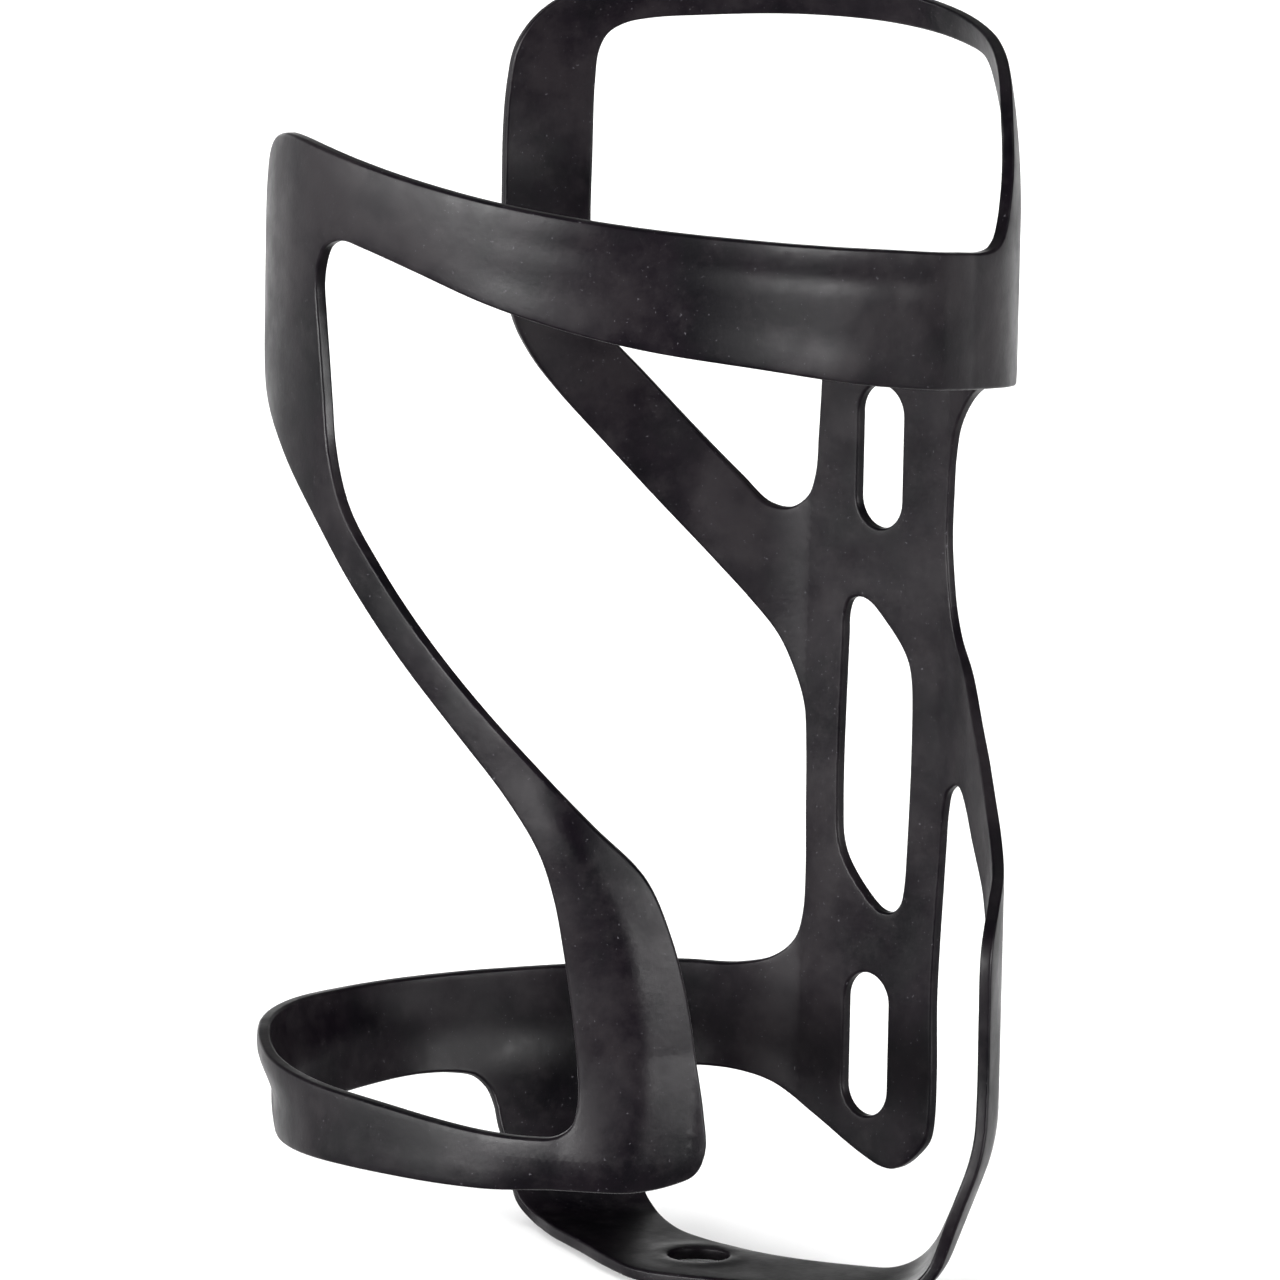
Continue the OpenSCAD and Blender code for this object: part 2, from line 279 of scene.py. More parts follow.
# the upper edge of everything: ring, plate, strut, upright, hoop, band, corner, arm and ring again
UPPER = deg([
    (-180, -26.7), (-155, -26.4), (-130, -25.3), (-112, -25.5), (-92, -26.2), (-71, -26.5),
    (-52, -26.3), (-34, -25.5), (-24, -25.4), (-18.3, -24.4), (-14.8, -22.3)]) + plate_xz([
    (-9.35, -19.2), (-9.1, -15), (-9.25, -8), (-9.4, -1)]) + deg([
    (-14, 3.6), (-15.8, 7.3), (-18.6, 11.0), (-23.1, 14.5), (-29.6, 18.8), (-38.8, 24.9),
    (-48, 31.4), (-55, 36.5), (-59.9, 40.75), (-63, 44.9), (-64.6, 51.5), (-65, 60), (-64.7, 70),
    (-63.6, 74.4), (-60.2, 77.7), (-54.6, 80.1), (-47.5, 81.5), (-36, 82.3), (-18, 82.7),
    (0, 82.55), (15, 82), (28, 81.2), (38, 80.2), (46.5, 78.5), (52.5, 76.2), (55.8, 73.8),
    (57.4, 71.2), (59.2, 68.5), (61.2, 66.2), (62.9, 64.2), (65, 62.4), (68, 61.5)]
    + BAND_EDGE + [
    (188, 71), (199, 71.65), (206, 71.8), (212.5, 71.5), (219.2, 70.2), (224.6, 67.8), (228, 63.6),
    (229.2, 56), (227.6, 49.8), (222.1, 44.7), (208.8, 39.15), (196.7, 33.5), (187, 27.55),
    (175.5, 20.2), (165.8, 13.85), (157, 7.4), (151.8, 2.3), (149.3, -2.4), (147.5, -8.5),
    (146, -15), (145.1, -20.3), (144.9, -24), (145.8, -26.5), (148.3, -27.8), (152.5, -28.1),
    (160, -28), (180, -26.8), (205, -26.4), (230, -25.3), (248, -25.5), (268, -26.2)])

# the lower edge of the ring on the left, down the front of the left wing
LOW_LEFT = deg([
    (-180, -33.9), (-167, -34.2), (-155, -34.75), (-142, -35.5), (-130, -36.1), (-112, -36.6),
    (-92, -36.95), (-78, -37.1), (-71.6, -37.45), (-67.9, -38.05), (-65.8, -39.4), (-65, -40.7)]
    + below_cut([-a for a in WING_FRONT], CUT))

# up the back of the left wing, round the plate's lower end and down the back of the riser
LOW_BACK = deg(below_cut(LEFT_WING_BACK, CUT)[::-1] + [
    (-43.9, -40.4), (-41.6, -38.5), (-37.5, -37.3), (-32, -37), (-24, -37.2), (-18, -38.2)]) + plate_xz([
    (-9.1, -40.1), (-5.8, -41.65), (-2, -43.5), (0.4, -44.5), (2.2, -45.1), (3.9, -45.2),
    (5.6, -44.55), (7.5, -43.0), (8.75, -41.4), (9.2, -39.4), (9.35, -34), (9.15, -26), (9.45, -18),
    (9.75, -13), (10.05, -9), (10.35, -5.5)]) + deg([
    (15.8, -3), (18.3, -1.8), (20.6, -1.6), (22.8, -2.1), (26.2, -3.8), (31.3, -7.7), (37, -11.5),
    (41, -16), (43.5, -22), (44.5, -28), (45, -33), (45.1, -38)] + below_cut(RIGHT_WING_BACK, CUT))

# up the front of the riser, along the band's lower edge, down the arm and along the ring
LOW_NEAR = deg(below_cut(WING_FRONT, CUT)[::-1] + [
    (64.4, -38), (63.2, -33), (62.5, -28), (62.7, -21), (62, -13.2), (56, -8.7), (46, -6),
    (37, -1.4), (30.4, 4.2), (23.3, 10.25), (18, 13.65), (15.9, 16.6)]) + plate_xz([
    (10.45, 19.6), (9.85, 24), (9.95, 29.5)]) + deg([
    (14.55, 33.15), (15.8, 36.6), (19.4, 39.6), (26.1, 42.0), (42, 44.25), (62.8, 46.4), (80, 47.9),
    (100, 49.9), (120, 52.55), (140, 54.9), (160, 58.1), (175, 61), (185, 62.4), (190.5, 62.7),
    (194.8, 61.4), (196.8, 58), (196.1, 54.05), (195.1, 50.1), (194, 45.5), (192.8, 40.8),
    (189.3, 35.3), (181.7, 29.65), (171.5, 22.7), (161.5, 16.2), (151.4, 9.8), (143.4, 4.6),
    (135.4, -0.75), (131.3, -6.8), (128.6, -13.5), (127, -20), (125.8, -25.3), (125.5, -29.2),
    (127.2, -31.65), (132, -32.85), (145, -33.3), (160, -33.8), (180, -33.9), (193, -34.2),
    (205, -34.75), (218, -35.5), (230, -36.1), (248, -36.6), (268, -36.95)])

# the large opening between the hoop, the band, the plate and the strut
OPENING = deg([
    (-50.6, 70), (-50.1, 73.7), (-48.65, 75.6), (-45.8, 76.75), (-41, 77.4), (-33, 77.85),
    (-18, 78.6), (0, 79), (15, 78.85), (25.5, 78.5), (31, 78.25), (34.2, 77.8), (36.6, 76.8),
    (38.5, 75.2), (41, 72.8), (43, 70), (44.3, 66.5), (44.6, 62.5), (44, 59.3), (41, 57.3),
    (35, 55.6), (26, 53.2), (19, 51.8)]) + plate_xz([
    (9.7, 50.2), (3.5, 47.7), (-2, 45.4), (-5.2, 43.9), (-7.3, 42.1), (-8.2, 39.8), (-8.4, 37),
    (-8.6, 33)]) + deg([
    (-12.75, 28.9), (-14.2, 26.2), (-17.3, 24.75), (-21.1, 25.1), (-25.8, 28), (-34, 33.3),
    (-41.6, 38.6), (-47.2, 42.6), (-49.6, 45.4), (-50.5, 49.2), (-50.8, 55.5), (-50.7, 62.6)])

# holes in the plate, in [x, height]
UPPER_SLOT = stadium(0.2, 31.9, width=6.5, length=15.7)
LOWER_SLOT = stadium(0, -32.2, width=6.4, length=15.9)
WINDOW = spline([
    (-4.4, 14.4), (-3.75, 15.9), (-2.3, 16.45), (-0.75, 16.1), (1.2, 14.6), (4.0, 11.75),
    (5.0, 10.0), (5.45, 7.8), (5.6, 1), (5.5, -4.3), (5.3, -9.8), (5.05, -14), (4.6, -16.1),
    (3.7, -17.1), (2.5, -17.45), (1.2, -17.2), (-0.5, -16.0), (-2.6, -13.9), (-3.9, -12.1),
    (-4.6, -10.1), (-4.8, -7), (-4.85, -2), (-4.7, 5), (-4.5, 11.5)], True)

# the foot's edges in [angle, distance from the axis], from above the cut down to the floor
FRONT_SIDE = [(64.7, FAR_CUT + 4)] + below_cut(WING_FRONT, FAR_CUT) + [
    (63.2, 36.5), (63.2, 33), (61.9, 29), (62.1, 22.5), (60, 15.4), (54.5, 7.7)]
LEFT_SIDE = [(-45.1, FAR_CUT + 4)] + below_cut(LEFT_WING_BACK, FAR_CUT) + [
    (-39.6, 36.2), (-38.3, 33.2), (-35.4, 29.5), (-31.3, 24.9), (-24.5, 21), (-13.3, 18.6)]
RIGHT_SIDE = [(45.1, FAR_CUT + 4)] + below_cut(RIGHT_WING_BACK, FAR_CUT) + [
    (41.3, 36), (40.6, 32.9), (38.6, 29), (33.6, 24.6), (25.4, 20.8), (13.5, 18.4)]
FLOOR_FRONT, FLOOR_BACK = (0, 2.6), (0, 17.75)      # where the floor's edges cross x = 0

front_side = [spot(*p) for p in FRONT_SIDE]
FOOT_FRONT = mirror(front_side) + [FLOOR_FRONT] + front_side[::-1]
FOOT_BACK = [spot(*p) for p in RIGHT_SIDE] + [FLOOR_BACK] + [spot(*p) for p in LEFT_SIDE][::-1]
DRAIN = np.array([(DRAIN_R * math.sin(a), DRAIN_Y + DRAIN_R * math.cos(a))
                  for a in [2 * math.pi * k / DRAIN_SIDES for k in range(DRAIN_SIDES)]])


# ---------------------------------------------------------------- relief
def side_distance(curve, q):
    """Signed distance of points q from a curve, positive on its left."""
    best = np.full(len(q), 1e9)
    sign = np.ones(len(q))
    for a, b in zip(curve[:-1], curve[1:]):
        ab = b - a
        t = np.clip(((q - a) @ ab) / (ab @ ab), 0, 1)
        off = q - (a + t[:, None] * ab)
        dist = np.hypot(off[:, 0], off[:, 1])
        near = dist < best - 1e-9
        best = np.where(near, dist, best)
        sign = np.where(near, np.where(cross(ab, (q - a).T) > 0, 1.0, -1.0), sign)
    return best * sign


def guide(pts):
    """A curve on the wall to measure distances from, with every sixth sample of its spline."""
    return spline(deg(pts))[::6]


# the lower arm's ridge: its crest, and the two facets that fall away from it on either side
CREST = guide([(153.4, 9.5), (149.8, 5.1), (145.5, 0.6), (141.1, -4.3), (138.5, -10.5), (136.9, -17.1),
               (136.2, -22.5), (136.4, -26.2), (137.2, -29.5), (138.2, -32.5), (139, -36)])
CREST_HEIGHT = 0.6168                       # of the crest over the wall
LEFT_SLOPE, LEFT_ROUND = 0.096, 0.7         # the broad left facet, down to the wall
RIGHT_SLOPE, RIGHT_ROUND = 0.34, 1.8        # the steep right facet,
RIGHT_DROP = 1.75                           # which ends this far below the crest
CREST_Z, CREST_Z_FADE = 1, 11               # the ridge fades out above this height
CREST_PHI, CREST_PHI_FADE = 150, 16         # and past this angle


def ridge(uv):
    """The lower arm's rounded ridge, as depth."""
    phi, z = uv[:, 0] / PER_DEG, uv[:, 1]
    s = -side_distance(CREST, uv)           # positive towards the arm's right edge
    rounded = RIGHT_SLOPE / (2 * RIGHT_ROUND) * np.maximum(s, 0) ** 2
    right = np.where(s < RIGHT_ROUND, rounded, RIGHT_SLOPE * (s - RIGHT_ROUND / 2))
    left = LEFT_SLOPE * (np.hypot(s, LEFT_ROUND) - LEFT_ROUND)
    fall = np.where(s > 0, np.minimum(right, RIGHT_DROP), np.minimum(left, CREST_HEIGHT))
    fade = (1 - ease((z - CREST_Z) / CREST_Z_FADE)) * (1 - ease((phi - CREST_PHI) / CREST_PHI_FADE))
    return (fall - CREST_HEIGHT) * fade


# the side band's forms
BAND_TOP = guide(BAND_EDGE)
GROOVE, GROOVE_BELOW, GROOVE_WIDTH = 0.16, 3.1, 1.15    # depth, place under the top edge, half width
GROOVE_ZONE = (82, 10, 138, 26)
CREASE_PHI = 85.5
CREASE, CREASE_OUT, CREASE_ROUND = 0.42, 0.021, 0.35    # hollow beside it, its own height, its radius
CREASE_REACH, CREASE_FADE = 6.5, 11                     # from the crease to the hollow, and out of it
LOW_EDGE_PHI, LOW_EDGE_Z, LOW_EDGE_RISE = 80, 47.9, 0.12    # a straight line near the lower edge
LOW_FLARE, LOW_FLARE_HEIGHT, LOW_FLARE_ZONE = 0.16, 4.5, (92, 20, 156, 16)


def band_form(uv):
    """The band's groove under its top edge, its upright crease and its flared lower edge, as depth."""
    phi, z = uv[:, 0] / PER_DEG, uv[:, 1]
    below = np.abs(side_distance(BAND_TOP, uv))
    groove = (GROOVE * np.exp(-((below - GROOVE_BELOW) / GROOVE_WIDTH) ** 2)
              * between(phi, *GROOVE_ZONE))
    off = np.abs(phi - CREASE_PHI) * PER_DEG
    hollow = CREASE * np.minimum(np.hypot(off, CREASE_ROUND) / CREASE_REACH, 1) - CREASE_OUT
    crease = hollow * (1 - ease((off - CREASE_REACH) / CREASE_FADE))
    low_edge = LOW_EDGE_Z + (phi - LOW_EDGE_PHI) * LOW_EDGE_RISE
    flare = (LOW_FLARE * (1 - ease((z - low_edge) / LOW_FLARE_HEIGHT))
             * between(phi, *LOW_FLARE_ZONE))
    return groove + crease - flare


# the lower corner and the front of the ring
FLARE_Z, FLARE_END, FLARE = -19, -34, 0.06      # both flare outwards between these heights, by this slope
FLARE_ZONE = (112, 12, 198, 18)
INSET, INSET_PHI, INSET_TURN = 0.9, 138, 26     # past the corner the ring is set in by this much
INSET_Z, INSET_RISE = -26, 8                    # and above this height no longer
TUCK_Z, TUCK, TUCK_ZONE = -29.6, 0.06, (112, 12, 148, 12)   # the corner's bottom curls in again

# parts of the wall with a form of their own: angles, then heights
RIDGE_AREA = (120, 172, -36, 14)
BAND_AREA = (55, 190, 42, HOOP_TOP)


def relief(uv):
    """Extra depth of the wall's two faces: the corner and the ring, the ridge, the band's forms."""
    phi, z = uv[:, 0] / PER_DEG, uv[:, 1]
    inset = INSET * ease((phi - INSET_PHI) / INSET_TURN) * (1 - ease((z - INSET_Z) / INSET_RISE))
    flare = FLARE * np.clip(FLARE_Z - z, 0, FLARE_Z - FLARE_END)
    out = (inset - flare) * between(phi, *FLARE_ZONE)
    out += TUCK * np.maximum(TUCK_Z - z, 0) ** 2 * between(phi, *TUCK_ZONE)
    for (phi_0, phi_1, z_0, z_1), form in ((RIDGE_AREA, ridge), (BAND_AREA, band_form)):
        near = (phi > phi_0) & (phi < phi_1) & (z > z_0) & (z < z_1)
        out[near] += form(uv[near])
    return out, out


RIM_RISE, RIM_AT, RIM_WIDTH = 0.1, 1, 1.1       # height, distance from the hole, and half width


def raised_rim(uv):
    """Extra depth of the foot's two faces: the upper one rises a little round the drain hole."""
    ring = np.hypot(uv[:, 0], uv[:, 1] - DRAIN_Y) - DRAIN_R
    return np.zeros(len(uv)), RIM_RISE * np.exp(-((ring - RIM_AT) / RIM_WIDTH) ** 2)


# ---------------------------------------------------------------- sheets
LEVELS = [0, 0.05, 0.175, EDGE, 0.85]       # how far inside an edge its rings of points lie
GRID = 0.8                                  # spacing of the points between the edges
ROW = 0.866                                 # distance between the grid's rows, per spacing
CLEAR = 0.45                                # the grid's gap to the last ring, per spacing
SEAM_STEP = 0.7
BESIDE, CLOSE = 0.6, 1.6                    # up to here a distance is measured square to the edge
SOFT = 2.4                                  # width of a faint fall towards the edges
SOFT_OUTER, SOFT_INNER = 0.05, 0.04         # and its depth on the two faces


def edge_rings(outlines, scale):
    """Rings of points inside the outlines, the lines along them, and the rim with its inward side."""
    verts, lines, kinds, rim, rim_inward = [], [], [], [], []
    for p, closed in outlines:
        n = len(p)
        along = np.roll(p, -1, 0) - np.roll(p, 1, 0) if closed else np.gradient(p, axis=0)
        stretch, across = scale(p)
        along = along + across * ((along * across).sum(1) * (stretch - 1))[:, None]
        along /= np.linalg.norm(along, axis=1)[:, None]
        inward = np.stack([-along[:, 1], along[:, 0]], 1)
        step = inward + across * ((inward * across).sum(1) * (1 / stretch - 1))[:, None]
        for level, dist in enumerate(LEVELS):
            base = len(verts)
            verts += [tuple(q) for q in p + step * (dist - GROW)]
            if dist <= EDGE:
                for i in range(n if closed else n - 1):
                    lines.append((base + i, base + (i + 1) % n))
                    kinds.append("rim" if level == 0 else "ring")
        rim.append(p - step * GROW)
        rim_inward.append(inward)
    return verts, lines, kinds, np.concatenate(rim), np.concatenate(rim_inward)


def add_seams(seams, verts, lines, kinds):
    """Adds the seams, in short steps, to the points and lines."""
    for a, b in seams:
        base = len(verts)
        n = max(int(math.dist(a, b) / SEAM_STEP), 1)
        verts += [(a[0] + (b[0] - a[0]) * k / n, a[1] + (b[1] - a[1]) * k / n) for k in range(n + 1)]
        lines += [(base + k, base + k + 1) for k in range(n)]
        kinds += ["seam"] * n


def make_tree(pts):
    tree = kdtree.KDTree(len(pts))
    for i, p in enumerate(pts):
        tree.insert(p, i)
    tree.balance()
    return tree


def distance_from(rim, inward):
    """A function that gives the distance of points from the rim, positive inside the material."""
    tree = make_tree([(x, y, 0) for x, y in rim])

    def distance(pts):
        out = np.empty(len(pts))
        for j, (x, y) in enumerate(pts):
            _, i, gap = tree.find((x, y, 0))
            off = (x - rim[i][0], y - rim[i][1])
            into = off[0] * inward[i][0] + off[1] * inward[i][1]
            if abs(cross(inward[i], off)) < BESIDE and gap < CLOSE:
                out[j] = into
            else:
                out[j] = gap if into > 0 else -gap
        return out

    return distance


def grid_points(low, high):
    """A grid of equal triangles over a rectangle."""
    pts = []
    for j in range(int((high[1] - low[1]) / (GRID * ROW)) + 1):
        x = low[0] + (GRID / 2 if j % 2 else 0)
        pts += [(x + GRID * i, low[1] + j * GRID * ROW)
                for i in range(int((high[0] - low[0]) / GRID) + 1)]
    return pts


def sides(f):
    return [frozenset((f[a], f[b])) for a, b in ((0, 1), (1, 2), (2, 0))]


def flood(tris, middle, seeds, beside, borders):
    """The piece of each triangle, spread from the piece's seed as far as rims and seams allow."""
    label = [None] * len(tris)
    for name, seed in seeds.items():
        stack = [int(np.argmin(((middle - np.array(seed)) ** 2).sum(1)))]
        while stack:
            i = stack.pop()
            if label[i] is None:
                label[i] = name
                for side in sides(tris[i]):
                    if side not in borders:
                        stack += [k for k in beside[side] if label[k] is None]
    return label


def make_sheet(outlines, seams, seeds, place, scale, extra, form):
    """Triangulates a flat pattern and bends it to a shell of thickness T with rounded edges.

    outlines: (points, closed), with the material on the left of each
    seams:    (start, end) of the lines that part two pieces
    seeds:    {piece: a point of the pattern inside it}
    place:    bends points of the pattern, given their depths
    scale:    the pattern's real lengths
    extra:    more points for the grid
    form:     extra depth of the outer and the inner face at points of the pattern

    It returns the points, the faces with the piece of each, and the caps that close the pieces
    at the seams, as (face, piece).
    """
    verts, lines, kinds, rim, rim_inward = edge_rings(outlines, scale)
    add_seams(seams, verts, lines, kinds)
    distance = distance_from(rim, rim_inward)
    pts = np.array(grid_points(rim.min(0), rim.max(0)) + extra)
    verts += [tuple(q) for q in pts[distance(pts) > LEVELS[-1] + GRID * CLEAR]]

    co, cut_lines, tris, _, sources, _ = delaunay_2d_cdt(
        [Vector(v) for v in verts], lines, [], 0, 1e-5, True)
    uv = np.array([tuple(c) for c in co])
    borders = {}
    for cut_line, source in zip(cut_lines, sources):
        found = {kinds[i] for i in source if i < len(kinds)}
        if "rim" in found or "seam" in found:
            borders[frozenset(cut_line)] = "rim" if "rim" in found else "seam"
    beside = {}
    for i, f in enumerate(tris):
        for side in sides(f):
            beside.setdefault(side, []).append(i)
    label = flood(tris, uv[np.array(tris)].mean(1), seeds, beside, borders)

    used = sorted({v for i, f in enumerate(tris) if label[i] for v in f})
    index = {v: k for k, v in enumerate(used)}
    uv = uv[used]
    n = len(uv)
    dist = np.clip(distance(uv), 0, None)
    curl = EDGE - np.sqrt(np.maximum(EDGE ** 2 - (EDGE - np.minimum(dist, EDGE)) ** 2, 0))
    soft = (1 - np.minimum(dist / SOFT, 1)) ** 2
    outer_form, inner_form = form(uv)
    outer = place(uv, curl + SOFT_OUTER * soft + outer_form)
    inner = place(uv, T - curl - SOFT_INNER * soft + inner_form)

    faces, names, caps = [], [], []
    for i, f in enumerate(tris):
        if label[i] is None:
            continue
        a, b, c = (index[v] for v in f)
        if cross(uv[b] - uv[a], uv[c] - uv[a]) < 0:
            b, c = c, b
        faces += [(a, c, b), (n + a, n + b, n + c)]
        names += [label[i]] * 2
        for p, q in ((a, b), (b, c), (c, a)):
            side = frozenset((used[p], used[q]))
            quad = (p, q, n + q, n + p)
            if borders.get(side) == "rim":
                faces.append(quad)
                names.append(label[i])
            elif side in borders and (len(beside[side]) == 1
                                      or len({label[k] for k in beside[side]}) > 1):
                caps.append((quad, label[i]))
    return np.concatenate([outer, inner]), faces, names, caps


def seam(a, b, past=0.4):
    """A seam between two places [angle, height], run a little past both."""
    a, b = (np.array(p) for p in deg([a, b]))
    d = (b - a) / np.linalg.norm(b - a) * past
    return tuple(a - d), tuple(b + d)


WALL_SEAMS = [
    seam((14.8, 32.6), (PLATE_PHI, 50.4)),      # plate and band
    seam((15.6, -7), (15.8, 20)),               # plate and riser
    seam((-13.7, 0.5), (-13.2, 31.5)),          # plate and strut
    seam((-13.1, -40.4), (-13.6, -18.5)),       # plate and rear of the ring
    seam((188, 62.5), (188, 71.1)),             # band and front corner
    seam((189.5, 35.2), (196.5, 33.6)),         # front corner and arm
    seam((125.8, -25.3), (144.9, -24.6)),       # arm and lower corner
    seam((160, -33.9), (160, -27.7)),           # lower corner and front of the ring
    seam((230, -36.4), (230, -25)),             # front and rear of the ring,
    seam((-130, -36.4), (-130, -25)),           # and the same seam at the pattern's other end
    seam((-60.2, 40.6), (-49.2, 44.9)),         # strut and upright
    seam((-64.4, 70), (-50.3, 70)),             # upright and hoop
    seam((38, 81), (33, 78)),                   # hoop and its leg
    seam((66, 62.3), (42.9, 58.9)),             # the leg and the band
    seam((-64.6, CUT), (-44.2, CUT)),           # rear of the ring and foot
    seam((44.2, CUT), (64.6, CUT))]             # riser and foot
WALL_SEEDS = {
    "mount_plate": (0, 22), "side_band": (100, 57), "front_corner": (212, 56),
    "diagonal_arm": (142, -3), "lower_corner": (136, -29), "ring_front": (195, -30),
    "ring_rear": (-90, -31), "riser": (53, -20), "brace_strut": (-36, 28.5),
    "rear_upright": (-57, 55), "top_hoop": (-10, 81), "hoop_leg": (54, 66)}
FOOT_SEEDS = {"foot_strap": (10, 13)}

# more points where the relief is sharpest: along the crease, and over the lower arm
crease_points = deg([(CREASE_PHI + side, 45 + 0.5 * k)
                     for side in (-0.9, -0.3, 0.3, 0.9) for k in range(36)])
arm_points = deg([(125 + 0.62 * i, -34 + 0.8 * j) for j in range(60) for i in range(50)])

wall_outlines = [(thinned(spline(UPPER))[::-1], False)]        # drawn with the material on its right
wall_outlines += [(thinned(spline(p)), False) for p in (LOW_LEFT, LOW_BACK, LOW_NEAR)]
wall_outlines.append((thinned(spline(OPENING, True), True), True))
wall_outlines += [(as_hole(thinned(np.array(plate_xz(p)), True)), True)
                  for p in (UPPER_SLOT, LOWER_SLOT, WINDOW)]
wall_points, wall_faces, wall_names, wall_caps = make_sheet(
    wall_outlines, WALL_SEAMS, {k: deg([v])[0] for k, v in WALL_SEEDS.items()},
    wall, wall_scale, crease_points + arm_points, relief)

arc = [spot(a, FAR_CUT) for a in np.linspace(43.6, 65.2, 30)]      # across the right wing at the cut
foot_seams = list(zip(arc[:-1], arc[1:]))
foot_seams += [tuple(mirror(ends)) for ends in foot_seams]
foot_outlines = [(thinned(spline(FOOT_FRONT)), False), (thinned(spline(FOOT_BACK)), False),
                 (as_hole(DRAIN), True)]
foot_points, foot_faces, foot_names, foot_caps = make_sheet(
    foot_outlines, foot_seams, FOOT_SEEDS, foot, foot_scale, [], raised_rim)

# ---------------------------------------------------------------- one shell with smooth normals
SAME_PLACE = 0.06               # points at a seam that are closer than this share one normal

points = np.concatenate([wall_points, foot_points])
# the CAD solids' right-hand side ends a little short of R, and the shell stays inside it
points[:, 0] *= np.where(points[:, 0] > 0, CAD_BOX[1][0] * 1000 / R, 1)
shift = len(wall_points)
faces = wall_faces + [tuple(v + shift for v in f) for f in foot_faces]
names = wall_names + foot_names
caps = wall_caps + [(tuple(v + shift for v in f), piece) for f, piece in foot_caps]


def face_normal(f):
    """A face's normal, as long as twice its area."""
    p = points[list(f)]
    if len(f) == 3:
        return np.cross(p[1] - p[0], p[2] - p[0])
    return np.cross(p[2] - p[0], p[3] - p[1])


def unit(v):
    return v / np.maximum(np.linalg.norm(v, axis=-1, keepdims=True), 1e-12)


def smooth_normals():
    """A normal for each point, shared by the points that meet at a seam."""
    normal = np.zeros_like(points)
    for f in faces:
        of_face = face_normal(f)
        for v in f:
            normal[v] += of_face
    at_seam = sorted({v for f, _ in caps for v in f})
    tree = make_tree(points[at_seam])
    joined = {v: sum(normal[at_seam[i]] for _, i, _ in tree.find_range(points[v], SAME_PLACE))
              for v in at_seam}
    for v, of_seam in joined.items():
        normal[v] = of_seam
    return unit(normal)


normal = smooth_normals()

# ---------------------------------------------------------------- material
# base colours of the composite, from its darkest mottling to the dust on it
DARK, BODY, PALE = (0.0002, 0.0001, 0.0004), (0.0009, 0.0005, 0.0010), (0.0029, 0.0023, 0.0028)
HAZE, DUST = (0.0046, 0.0039, 0.0044), (0.017, 0.016, 0.018)
GLOSS = 0.045                   # specular level
SMOOTH, ROUGH = 0.29, 0.42      # range of its roughness


def grey(value):
    return (value,) * 3


def composite():
    """Satin black composite: mottled, hazy and a little dusty, with slow waves in its gloss.

    The noises' scales are per metre, and the bumps' distances are in metres.
    """
    material = bpy.data.materials.new("satin_composite")
    material.use_nodes = True
    tree = material.node_tree
    shader = tree.nodes["Principled BSDF"]
    shader.inputs["Specular IOR Level"].default_value = GLOSS
    place = tree.nodes.new("ShaderNodeTexCoord").outputs["Object"]

    def noise(scale, detail, rough=0.5):
        n = tree.nodes.new("ShaderNodeTexNoise")
        n.inputs["Scale"].default_value = scale
        n.inputs["Detail"].default_value = detail
        n.inputs["Roughness"].default_value = rough
        tree.links.new(place, n.inputs["Vector"])
        return n.outputs["Fac"]

    def ramp(value, stops):
        n = tree.nodes.new("ShaderNodeValToRGB")
        while len(n.color_ramp.elements) < len(stops):
            n.color_ramp.elements.new(0.5)
        for element, (position, colour) in zip(n.color_ramp.elements, stops):
            element.position = position
            element.color = (*colour, 1)
        tree.links.new(value, n.inputs["Fac"])
        return n.outputs["Color"]

    def blend(mask, below, above):
        n = tree.nodes.new("ShaderNodeMix")
        n.data_type = "RGBA"
        n.inputs["B"].default_value = (*above, 1)
        tree.links.new(mask, n.inputs["Factor"])
        tree.links.new(below, n.inputs["A"])
        return n.outputs["Result"]

    def bump(strength, distance, height, under=None):
        n = tree.nodes.new("ShaderNodeBump")
        n.inputs["Strength"].default_value = strength
        n.inputs["Distance"].default_value = distance
        tree.links.new(height, n.inputs["Height"])
        if under:
            tree.links.new(under, n.inputs["Normal"])
        return n.outputs["Normal"]

    mottling = ramp(noise(55, 8, 0.68), [(0.40, DARK), (0.5, BODY), (0.60, PALE)])
    haze = ramp(noise(330, 6, 0.7), [(0.5, grey(0)), (0.7, grey(0.5))])
    dust = ramp(noise(2600, 2, 0.6), [(0.70, grey(0)), (0.74, grey(1))])
    colour = blend(dust, blend(haze, mottling, HAZE), DUST)
    tree.links.new(colour, shader.inputs["Base Color"])
    roughness = ramp(noise(130, 6, 0.65), [(0.38, grey(SMOOTH)), (0.62, grey(ROUGH))])
    tree.links.new(roughness, shader.inputs["Roughness"])
    waves = bump(0.4, 0.0005, noise(70, 2))
    tree.links.new(bump(0.06, 0.0002, noise(1500, 3, 0.6), waves), shader.inputs["Normal"])
    return material


# ---------------------------------------------------------------- pieces
def shell_mesh(piece):
    """The mesh of one piece in metres, closed by its caps, with the shell's smooth normals."""
    mine = [f for f, name in zip(faces, names) if name == piece]
    ends = [f for f, name in caps if name == piece]
    order = sorted({v for f in mine for v in f})
    index = {v: k for k, v in enumerate(order)}
    polys = [tuple(index[v] for v in f) for f in mine + ends]
    mesh = bpy.data.meshes.new(piece + "_shell")
    mesh.from_pydata([tuple(points[v] / 1000) for v in order], [], polys)
    mesh.polygons.foreach_set("use_smooth", [True] * len(polys))
    corners = [tuple(normal[v]) for f in mine for v in f]
    for f in ends:
        corners += [tuple(unit(face_normal(f)))] * len(f)
    mesh.normals_split_custom_set(corners)
    return mesh


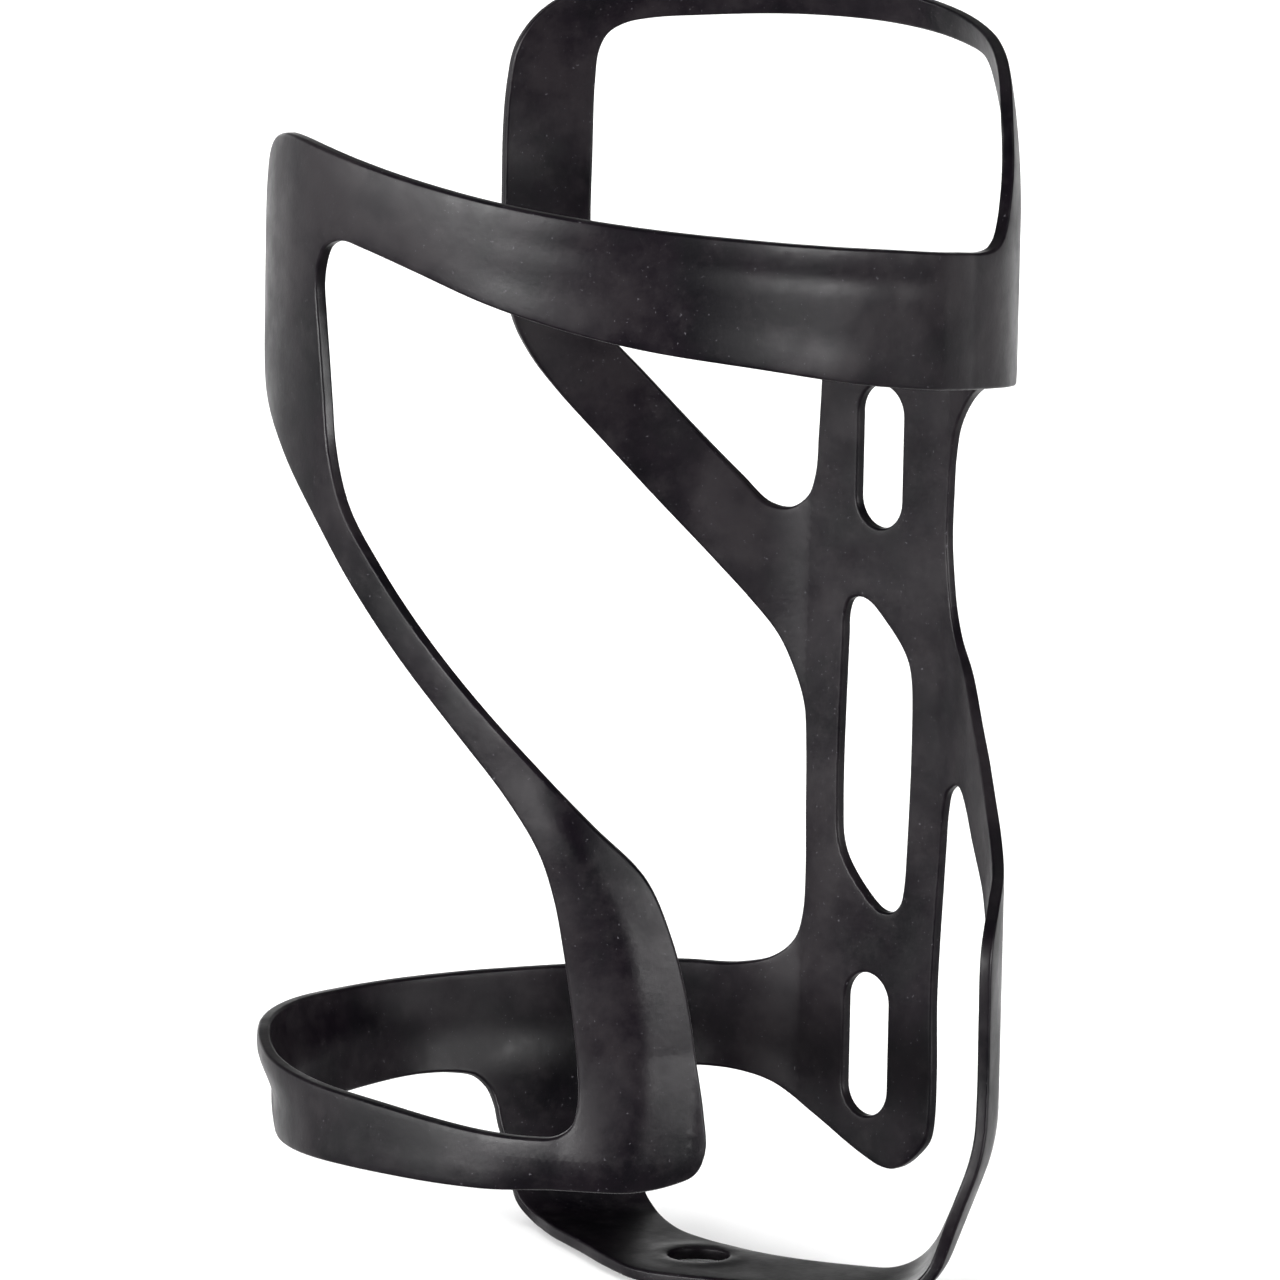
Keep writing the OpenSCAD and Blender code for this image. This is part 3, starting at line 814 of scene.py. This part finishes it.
satin = composite()
for piece in sorted(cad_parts):
    mesh = shell_mesh(piece)
    mesh.materials.append(satin)
    shell = bpy.data.objects.new(piece + "_shell", mesh)
    bpy.context.scene.collection.objects.link(shell)
    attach(shell, "root")
    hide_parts(piece)

# ---------------------------------------------------------------- stage and light
FLOOR_SIZE = 6                  # from the middle to its edges, in metres
FLOOR_GAP = 0.0005              # the floor lies this far under the cage
FLOOR_WHITE, FLOOR_ROUGHNESS = 0.93, 0.9
SKY, TOP_LIGHT = 0.1, 1.6       # strength of the light from all round, and from straight above
# soft strips of light: bearing, sharpness round the horizon, sharpness up and down, strength
SOFT_BOXES = [(84, 16, 9, 205), (184, 22, 9, 280), (221, 14, 9, 72), (300, 10, 9, 7)]


def lay_floor():
    """A plain white floor just under the cage."""
    x, z = FLOOR_SIZE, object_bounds()[0][2] - FLOOR_GAP
    mesh = bpy.data.meshes.new("floor")
    mesh.from_pydata([(-x, -x, z), (x, -x, z), (x, x, z), (-x, x, z)], [], [(0, 1, 2, 3)])
    floor = bpy.data.objects.new("floor", mesh)
    bpy.context.scene.collection.objects.link(floor)
    material = bpy.data.materials.new("floor")
    material.use_nodes = True
    shader = material.node_tree.nodes["Principled BSDF"]
    shader.inputs["Base Color"].default_value = (*grey(FLOOR_WHITE), 1)
    shader.inputs["Roughness"].default_value = FLOOR_ROUGHNESS
    mesh.materials.append(material)


def light_studio():
    """A world with pale light from above and soft strips of light round the horizon."""
    world = bpy.data.worlds.new("studio")
    bpy.context.scene.world = world
    world.use_nodes = True
    tree = world.node_tree

    def math_node(op, a, b=None):
        n = tree.nodes.new("ShaderNodeMath")
        n.operation = op
        for i, v in enumerate((a, b)):
            if isinstance(v, (int, float)):
                n.inputs[i].default_value = v
            elif v is not None:
                tree.links.new(v, n.inputs[i])
        return n.outputs[0]

    def vector_node(op, a, b=None):
        n = tree.nodes.new("ShaderNodeVectorMath")
        n.operation = op
        tree.links.new(a, n.inputs[0])
        if b:
            n.inputs[1].default_value = b
        return n

    direction = tree.nodes.new("ShaderNodeTexCoord").outputs["Generated"]
    level = vector_node("MULTIPLY", direction, (1, 1, 0)).outputs["Vector"]
    around = vector_node("NORMALIZE", level).outputs["Vector"]
    parts = tree.nodes.new("ShaderNodeSeparateXYZ")
    tree.links.new(direction, parts.inputs[0])
    height = math_node("ABSOLUTE", parts.outputs["Z"])

    def soft_box(bearing, sharp, low, strength):
        b = math.radians(bearing)
        facing = vector_node("DOT_PRODUCT", around, (math.sin(b), math.cos(b), 0)).outputs["Value"]
        wide = math_node("POWER", math_node("MAXIMUM", facing, 0), sharp)
        tall = math_node("POWER", math_node("SUBTRACT", 1, height), low)
        return math_node("MULTIPLY", math_node("MULTIPLY", wide, tall), strength)

    above = math_node("MULTIPLY", math_node("POWER", height, 3), TOP_LIGHT)
    total = math_node("ADD", above, SKY)
    for box in SOFT_BOXES:
        total = math_node("ADD", soft_box(*box), total)
    tree.links.new(total, tree.nodes["Background"].inputs["Strength"])
    tree.nodes["Background"].inputs["Color"].default_value = (1, 1, 1, 1)


lay_floor()
light_studio()
bpy.context.scene.view_settings.view_transform = "Standard"

# ---------------------------------------------------------------- camera
AZIMUTH, ELEVATION, ROLL = 42.1465, 11.0, 1.1504    # degrees
DISTANCE = 1.5                                      # from the point it looks at, in metres
SENSOR, LENS = 36, 402.894                          # sensor width and focal length, in mm
CLIP_START, CLIP_END = 0.05, 50
AIM_Z, AIM_RIGHT = 0.016967, 0.0005031              # that point's height, and its place beside the axis


def aim_camera():
    """A long lens from the front right, a little above the cage and turned slightly."""
    az, el, roll = (math.radians(a) for a in (AZIMUTH, ELEVATION, ROLL))
    right = Vector((math.cos(az), math.sin(az), 0))
    behind = Vector((math.sin(az) * math.cos(el), -math.cos(az) * math.cos(el), math.sin(el)))
    up = behind.cross(right)
    x_axis = right * math.cos(roll) + up * math.sin(roll)
    y_axis = up * math.cos(roll) - right * math.sin(roll)
    place = Vector((0, -R / 1000, AIM_Z)) + right * AIM_RIGHT + behind * DISTANCE
    data = bpy.data.cameras.new("camera")
    data.sensor_width = SENSOR
    data.lens = LENS
    data.clip_start, data.clip_end = CLIP_START, CLIP_END
    camera = bpy.data.objects.new("camera", data)
    bpy.context.scene.collection.objects.link(camera)
    turn = Matrix((x_axis, y_axis, behind)).transposed()
    camera.matrix_world = Matrix.Translation(place) @ turn.to_4x4()
    return camera


bpy.context.scene.camera = aim_camera()
